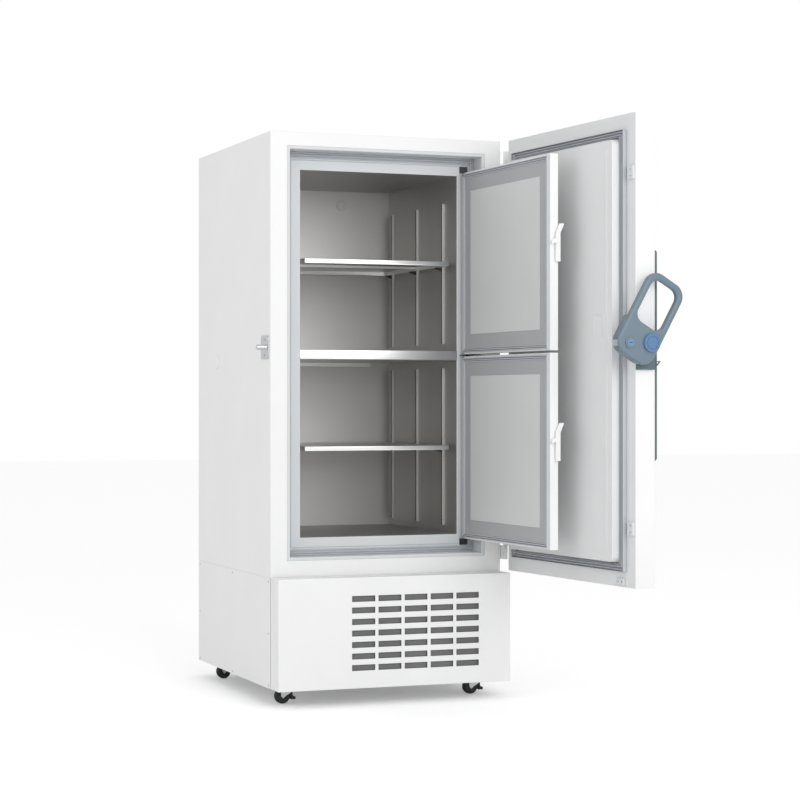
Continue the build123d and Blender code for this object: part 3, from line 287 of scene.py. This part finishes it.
def starting(prefix):
    """Names of the CAD nodes that start with a prefix."""
    return [name for name in nodes if name.startswith(prefix)]


dress(white_coat, "outer_shell", "base_side_panels", "lower_front_cover", "door_outer_panel",
      "back_panel", "base_rear_panel", "inner_door_upper", "inner_door_lower", "side_port_cap",
      "rear_port_plug", "inner_latch_upper", "inner_latch_lower", "outer_hinge_brackets",
      "door_hinge_leaves")
dress(pale_moulding, "recess_frame", "door_bumpers")
dress(door_lining, "door_inner_panel")
dress(foam, "foam_core", "door_foam")
dress(steel, "inner_liner", "pilasters")
dress(shelf_steel, "shelf_lower", "shelf_upper", "centre_divider")
dress(copper, "evaporator_coil")
dress(grey_rubber, "throat_seal", "door_seal", "inner_seal_upper", "inner_seal_lower")
dress(zinc, "door_strike", "base_frame", "castor_plates", "panel_screws", "fan_shroud",
      *starting("castor_fork"))
dress(black_nylon, "shelf_clips", "fan_rotor", "power_inlet", *starting("castor_pedal"))
dress(black_paint, "inner_hinge_brackets", "compressors", "fan_motor", "cascade_exchanger")
dress(tread, *starting("castor_wheel"))
dress(aluminium, "condenser")
dress(grey_case, "electrical_box")
dress(mat, "air_filter")
dress(handle_plastic, "handle_lever")
dress(handle_hood, "handle_base")
dress(knob_plastic, "handle_knob")
dress(lock_plastic, "lock_cylinder")
dress(fascia_plastic, "door_fascia")
dress(glass_black, "control_display")
undressed = [name for name, node in nodes.items()
             if any(slot.link != "OBJECT" for slot in node.material_slots)]
print("nodes without a finish:", undressed)

# %% [markdown]
# ## New pieces
#
# Each piece made here starts as a bmesh in the room's frame. It becomes an object at the
# origin and rides with the body of the CAD node it belongs to.

# %% A helper that shows a new piece
body_names = {empty.name: name for name, empty in frame["bodies"].items()}


def show(form, name, node, *materials):
    """Object from a bmesh, that rides with a CAD node's body."""
    mesh = bpy.data.meshes.new(name)
    form.to_mesh(mesh)
    form.free()
    piece = bpy.data.objects.new(name, mesh)
    for material in materials:
        mesh.materials.append(material)
    bpy.context.scene.collection.objects.link(piece)
    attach(piece, body_names[nodes[node].parent.name])
    return piece


print("bodies:", ", ".join(sorted(body_names.values())))

# %% [markdown]
# ## Soft edges
#
# Folded sheet, mouldings and castings have no knife edges, and the small radius along an edge
# is what catches a line of light. The cell below works on a welded copy of a CAD mesh. It
# rounds each sharp edge with a few short facets and lets only those facets, and the curved
# walls, shade smoothly, so that flat panels stay flat.

# %% A helper for copies with soft edges
weld_distance = 1e-5
curved_from = radians(1)
sharp_from = radians(40)
smooth_to = radians(50)


def welded(node):
    """Copy of a CAD node's mesh as a bmesh, with its doubled vertices joined."""
    form = bmesh.new()
    form.from_mesh(nodes[node].data)
    bmesh.ops.remove_doubles(form, verts=form.verts, dist=weld_distance)
    return form


def soften(width, *names, segments=2):
    """Replace CAD nodes by welded copies whose sharp edges are rounded."""
    for node in names:
        form = welded(node)
        bmesh.ops.recalc_face_normals(form, faces=form.faces)
        for face in form.faces:
            face.smooth = any(curved_from < edge.calc_face_angle(0) < sharp_from
                              for edge in face.edges)
        sharp = [edge for edge in form.edges
                 if edge.is_manifold and edge.calc_face_angle(0) >= sharp_from]
        facets = bmesh.ops.bevel(form, geom=sharp, offset=width, segments=segments, profile=0.5,
                                 affect="EDGES", clamp_overlap=True, material=-1)["faces"]
        for face in facets:
            face.smooth = True
        for edge in form.edges:
            edge.smooth = edge.calc_face_angle(pi) < smooth_to
        piece = show(form, node + "_soft", node, nodes[node].material_slots[0].material)
        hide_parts(node)


# %% [markdown]
# Sheet panels fold round about a millimetre, mouldings a little more, and the handle is
# rounded to fit a hand. Small hardware and the shelves' thin sheet get the least.

# %% Copies with soft edges
soften(0.0012, "outer_shell", "door_outer_panel", "lower_front_cover", "base_side_panels")
soften(0.0015, "inner_door_upper", "inner_door_lower", "door_inner_panel", "recess_frame",
       "door_bumpers")
soften(0.0025, "handle_lever", "handle_base", segments=3)
soften(0.0008, "handle_knob", "lock_cylinder", "door_fascia", "inner_latch_upper",
       "inner_latch_lower", "outer_hinge_brackets", "door_hinge_leaves", "inner_hinge_brackets",
       "door_strike")
soften(0.0006, "shelf_lower", "shelf_upper", "centre_divider")
for corner in ("front_left", "front_right", "rear_left", "rear_right"):
    soften(0.0010, "castor_wheel_" + corner)
    soften(0.0004, "castor_fork_" + corner)


# %% [markdown]
# ## Frames with a stepped section
#
# A door seal is an extruded rubber section, mitred at the four corners. The section is given
# as steps from the outer edge inwards, each with its height along the direction square to the
# door. Every step becomes a rectangle of four corners, and neighbouring rectangles are joined
# by faces, so the ribs run round the whole opening. The doors stand open at their own angles,
# so both directions are read from the largest face of the node.

# %% Helpers that measure a flat upright node
up = Vector((0, 0, 1))


def face_axes(node):
    """Direction along a flat upright node and the direction square to it."""
    square = max(nodes[node].data.polygons, key=lambda face: face.area).normal.copy()
    square.z = 0
    square.normalize()
    return up.cross(square), square


def span(node, axis):
    """Sorted places of a node's vertices along an axis."""
    return sorted(vert.co.dot(axis) for vert in nodes[node].data.vertices)


def strip_width(across):
    """Width of a frame's strip, up to the widest gap between its vertices."""
    start = max((after - before, before) for before, after in zip(across, across[1:]))[1]
    return start - across[0]


# %% A helper that builds a frame
def stepped_frame(along, square, sides, heights, steps, closed=False):
    """Mitred frame whose section is a list of (inset, height) steps."""
    form = bmesh.new()
    left, right = sides
    bottom, top = heights
    loops = []
    for inset, height in steps:
        corners = ((left + inset, bottom + inset), (right - inset, bottom + inset),
                   (right - inset, top - inset), (left + inset, top - inset))
        loops.append([form.verts.new(along * u + square * height + up * v) for u, v in corners])
    for outer, inner in zip(loops, loops[1:]):
        for corner in range(4):
            following = (corner + 1) % 4
            form.faces.new((outer[corner], outer[following], inner[following], inner[corner]))
    if closed:
        form.faces.new(loops[-1])
    bmesh.ops.recalc_face_normals(form, faces=form.faces)
    return form


# %% [markdown]
# ## Ribbed seals
#
# A low outer lip, a broad middle bead and a flat inner lip stand in a shallow channel. Insets
# and heights are shares of the strip's width and thickness, so one section fits all the seals.

# %% Ribbed seals
rib_section = ((0, 0), (0, 0.7), (0.06, 1), (0.20, 1), (0.26, 0.25), (0.34, 0.25), (0.40, 0.9),
               (0.58, 0.9), (0.64, 0.2), (0.72, 0.2), (0.78, 0.65), (0.95, 0.65), (1, 0.4), (1, 0))


def ribbed_seal(node, carrier):
    """Replace a plain CAD seal by one with ribs, and return its directions and spans."""
    along, square = face_axes(node)
    across = span(node, along)
    upward = span(node, up)
    deep = span(node, square)
    width = strip_width(across)
    carrier_deep = span(carrier, square)
    outward = sum(deep) / len(deep) > (carrier_deep[0] + carrier_deep[-1]) / 2
    seat, face = (deep[0], deep[-1]) if outward else (deep[-1], deep[0])
    steps = [(share * width, seat + rise * (face - seat)) for share, rise in rib_section]
    form = stepped_frame(along, square, (across[0], across[-1]), (upward[0], upward[-1]), steps)
    piece = show(form, node + "_ribbed", node, grey_rubber)
    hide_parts(node)
    print(node, "strip", round(width, 4), "thick", round(abs(face - seat), 4))
    return along, square, across, upward, 1 if outward else -1


ribbed_seal("throat_seal", "outer_shell")
ribbed_seal("door_seal", "door_inner_panel")

# %% [markdown]
# ## Faces of the inner doors
#
# Inside its seal each inner door has a grey moulded border and, within that, a slightly raised
# pale board. Both are thin frames of the same kind as the seals.

# %% Inner door faces
door_border = finish("inner_door_border", (0.42, 0.43, 0.44), 0.5, relief=0.05, spread=0.015)
door_board = finish("inner_door_board", (0.66, 0.665, 0.665), 0.5, relief=0.05, spread=0.012)
border_rise = 0.0004
board_inset = 0.048
board_rise = 0.0022
board_round = 0.0010

for level in ("upper", "lower"):
    door = "inner_door_" + level
    along, square, across, upward, outward = ribbed_seal("inner_seal_" + level, door)
    width = strip_width(across)
    sides = (across[0] + width, across[-1] - width)
    heights = (upward[0] + width, upward[-1] - width)
    door_face = span(door, square)[-1 if outward > 0 else 0]
    border_face = door_face + outward * border_rise
    board_face = door_face + outward * board_rise
    border_steps = ((0, door_face), (0, border_face), (board_inset, border_face),
                    (board_inset, door_face))
    border = stepped_frame(along, square, sides, heights, border_steps)
    show(border, door + "_border", door, door_border)
    board_steps = ((board_inset, door_face), (board_inset, board_face - outward * board_round),
                   (board_inset + board_round, board_face))
    board = stepped_frame(along, square, sides, heights, board_steps, closed=True)
    if board.faces[-1].normal.dot(square) * outward < 0:
        bmesh.ops.reverse_faces(board, faces=board.faces)
    show(board, door + "_board", door, door_board)
print("borders and boards of both inner doors")


# %% [markdown]
# ## Slotted pilasters
#
# Shelf clips hook into close rows of slots. The CAD node holds all the strips, so the cell
# below first sorts its welded vertices into strips by walking along their edges.

# %% A helper that measures each strip
def separate_strips(node):
    """Lowest and highest corner of each loose strip of a CAD node."""
    form = welded(node)
    left = set(form.verts)
    boxes = []
    while left:
        front = [min(left, key=lambda vert: vert.index)]
        left.discard(front[0])
        strip = []
        while front:
            vert = front.pop()
            strip.append(vert.co.copy())
            for edge in vert.link_edges:
                other = edge.other_vert(vert)
                if other in left:
                    left.discard(other)
                    front.append(other)
        boxes.append((Vector([min(co[axis] for co in strip) for axis in range(3)]),
                      Vector([max(co[axis] for co in strip) for axis in range(3)])))
    form.free()
    return boxes


pilaster_boxes = separate_strips("pilasters")
print(len(pilaster_boxes), "pilasters")

# %% [markdown]
# Each strip is then built again at its own size. Its face towards the cavity is a grid of
# three columns. The rim of the grid is drawn back to the wall, and every cell of the middle
# column is inset and sunk to make a shallow pocket, whose floor is painted near black as the
# shade inside a slot. The inset moves each corner of a cell by slot_inset at 45 degrees, so
# each side comes in by only 0.7 of it, and the pockets are 12.8 mm wide and about 7.8 mm high.

# %% A helper that builds one strip
slot_pitch = 0.012
column_width = 0.017
slot_inset = 0.003
slot_depth = 0.0020


def slotted_strip(form, low, high):
    """Add a strip whose face towards the cavity has a column of pockets."""
    inward = -1 if low.x > 0 else 1
    face_x, back_x = (low.x, high.x) if inward < 0 else (high.x, low.x)
    middle = (low.y + high.y) / 2
    across = (low.y, middle - column_width / 2, middle + column_width / 2, high.y)
    count = round((high.z - low.z) / slot_pitch)
    heights = [low.z + (high.z - low.z) * step / count for step in range(count + 1)]
    grid = [[form.verts.new((face_x, y, z)) for z in heights] for y in across]
    plate = []
    pockets = []
    for column in range(3):
        for row in range(count):
            corners = [grid[column][row], grid[column][row + 1],
                       grid[column + 1][row + 1], grid[column + 1][row]]
            plate.append(form.faces.new(corners))
            if column == 1:
                pockets.append(plate[-1])
    rim = [edge for face in plate for edge in face.edges if edge.is_boundary]
    walls = bmesh.ops.extrude_edge_only(form, edges=list(dict.fromkeys(rim)))["geom"]
    for item in walls:
        if isinstance(item, bmesh.types.BMVert):
            item.co.x = back_x
    back_rim = [item for item in walls if isinstance(item, bmesh.types.BMEdge) and item.is_boundary]
    bmesh.ops.edgeloop_fill(form, edges=back_rim)
    bmesh.ops.inset_individual(form, faces=pockets, thickness=slot_inset)
    for face in bmesh.ops.extrude_discrete_faces(form, faces=pockets)["faces"]:
        face.material_index = 1
        for vert in face.verts:
            vert.co.x -= inward * slot_depth


# %% Pilasters with close slots
# The pockets' floors are painted near black as the shade inside the slots.
slot_shade = finish("slot_shade", (0.03, 0.03, 0.03), 0.8)
strips = bmesh.new()
for low, high in pilaster_boxes:
    slotted_strip(strips, low, high)
bmesh.ops.recalc_face_normals(strips, faces=strips.faces)
pilasters = show(strips, "pilasters_slotted", "pilasters", steel, slot_shade)
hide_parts("pilasters")
print(len(pilasters.data.polygons), "faces in the strips")

# %% [markdown]
# ## The last cell
#
# The last cell brings the scene up to date.

# %% Update the scene
bpy.context.view_layer.update()
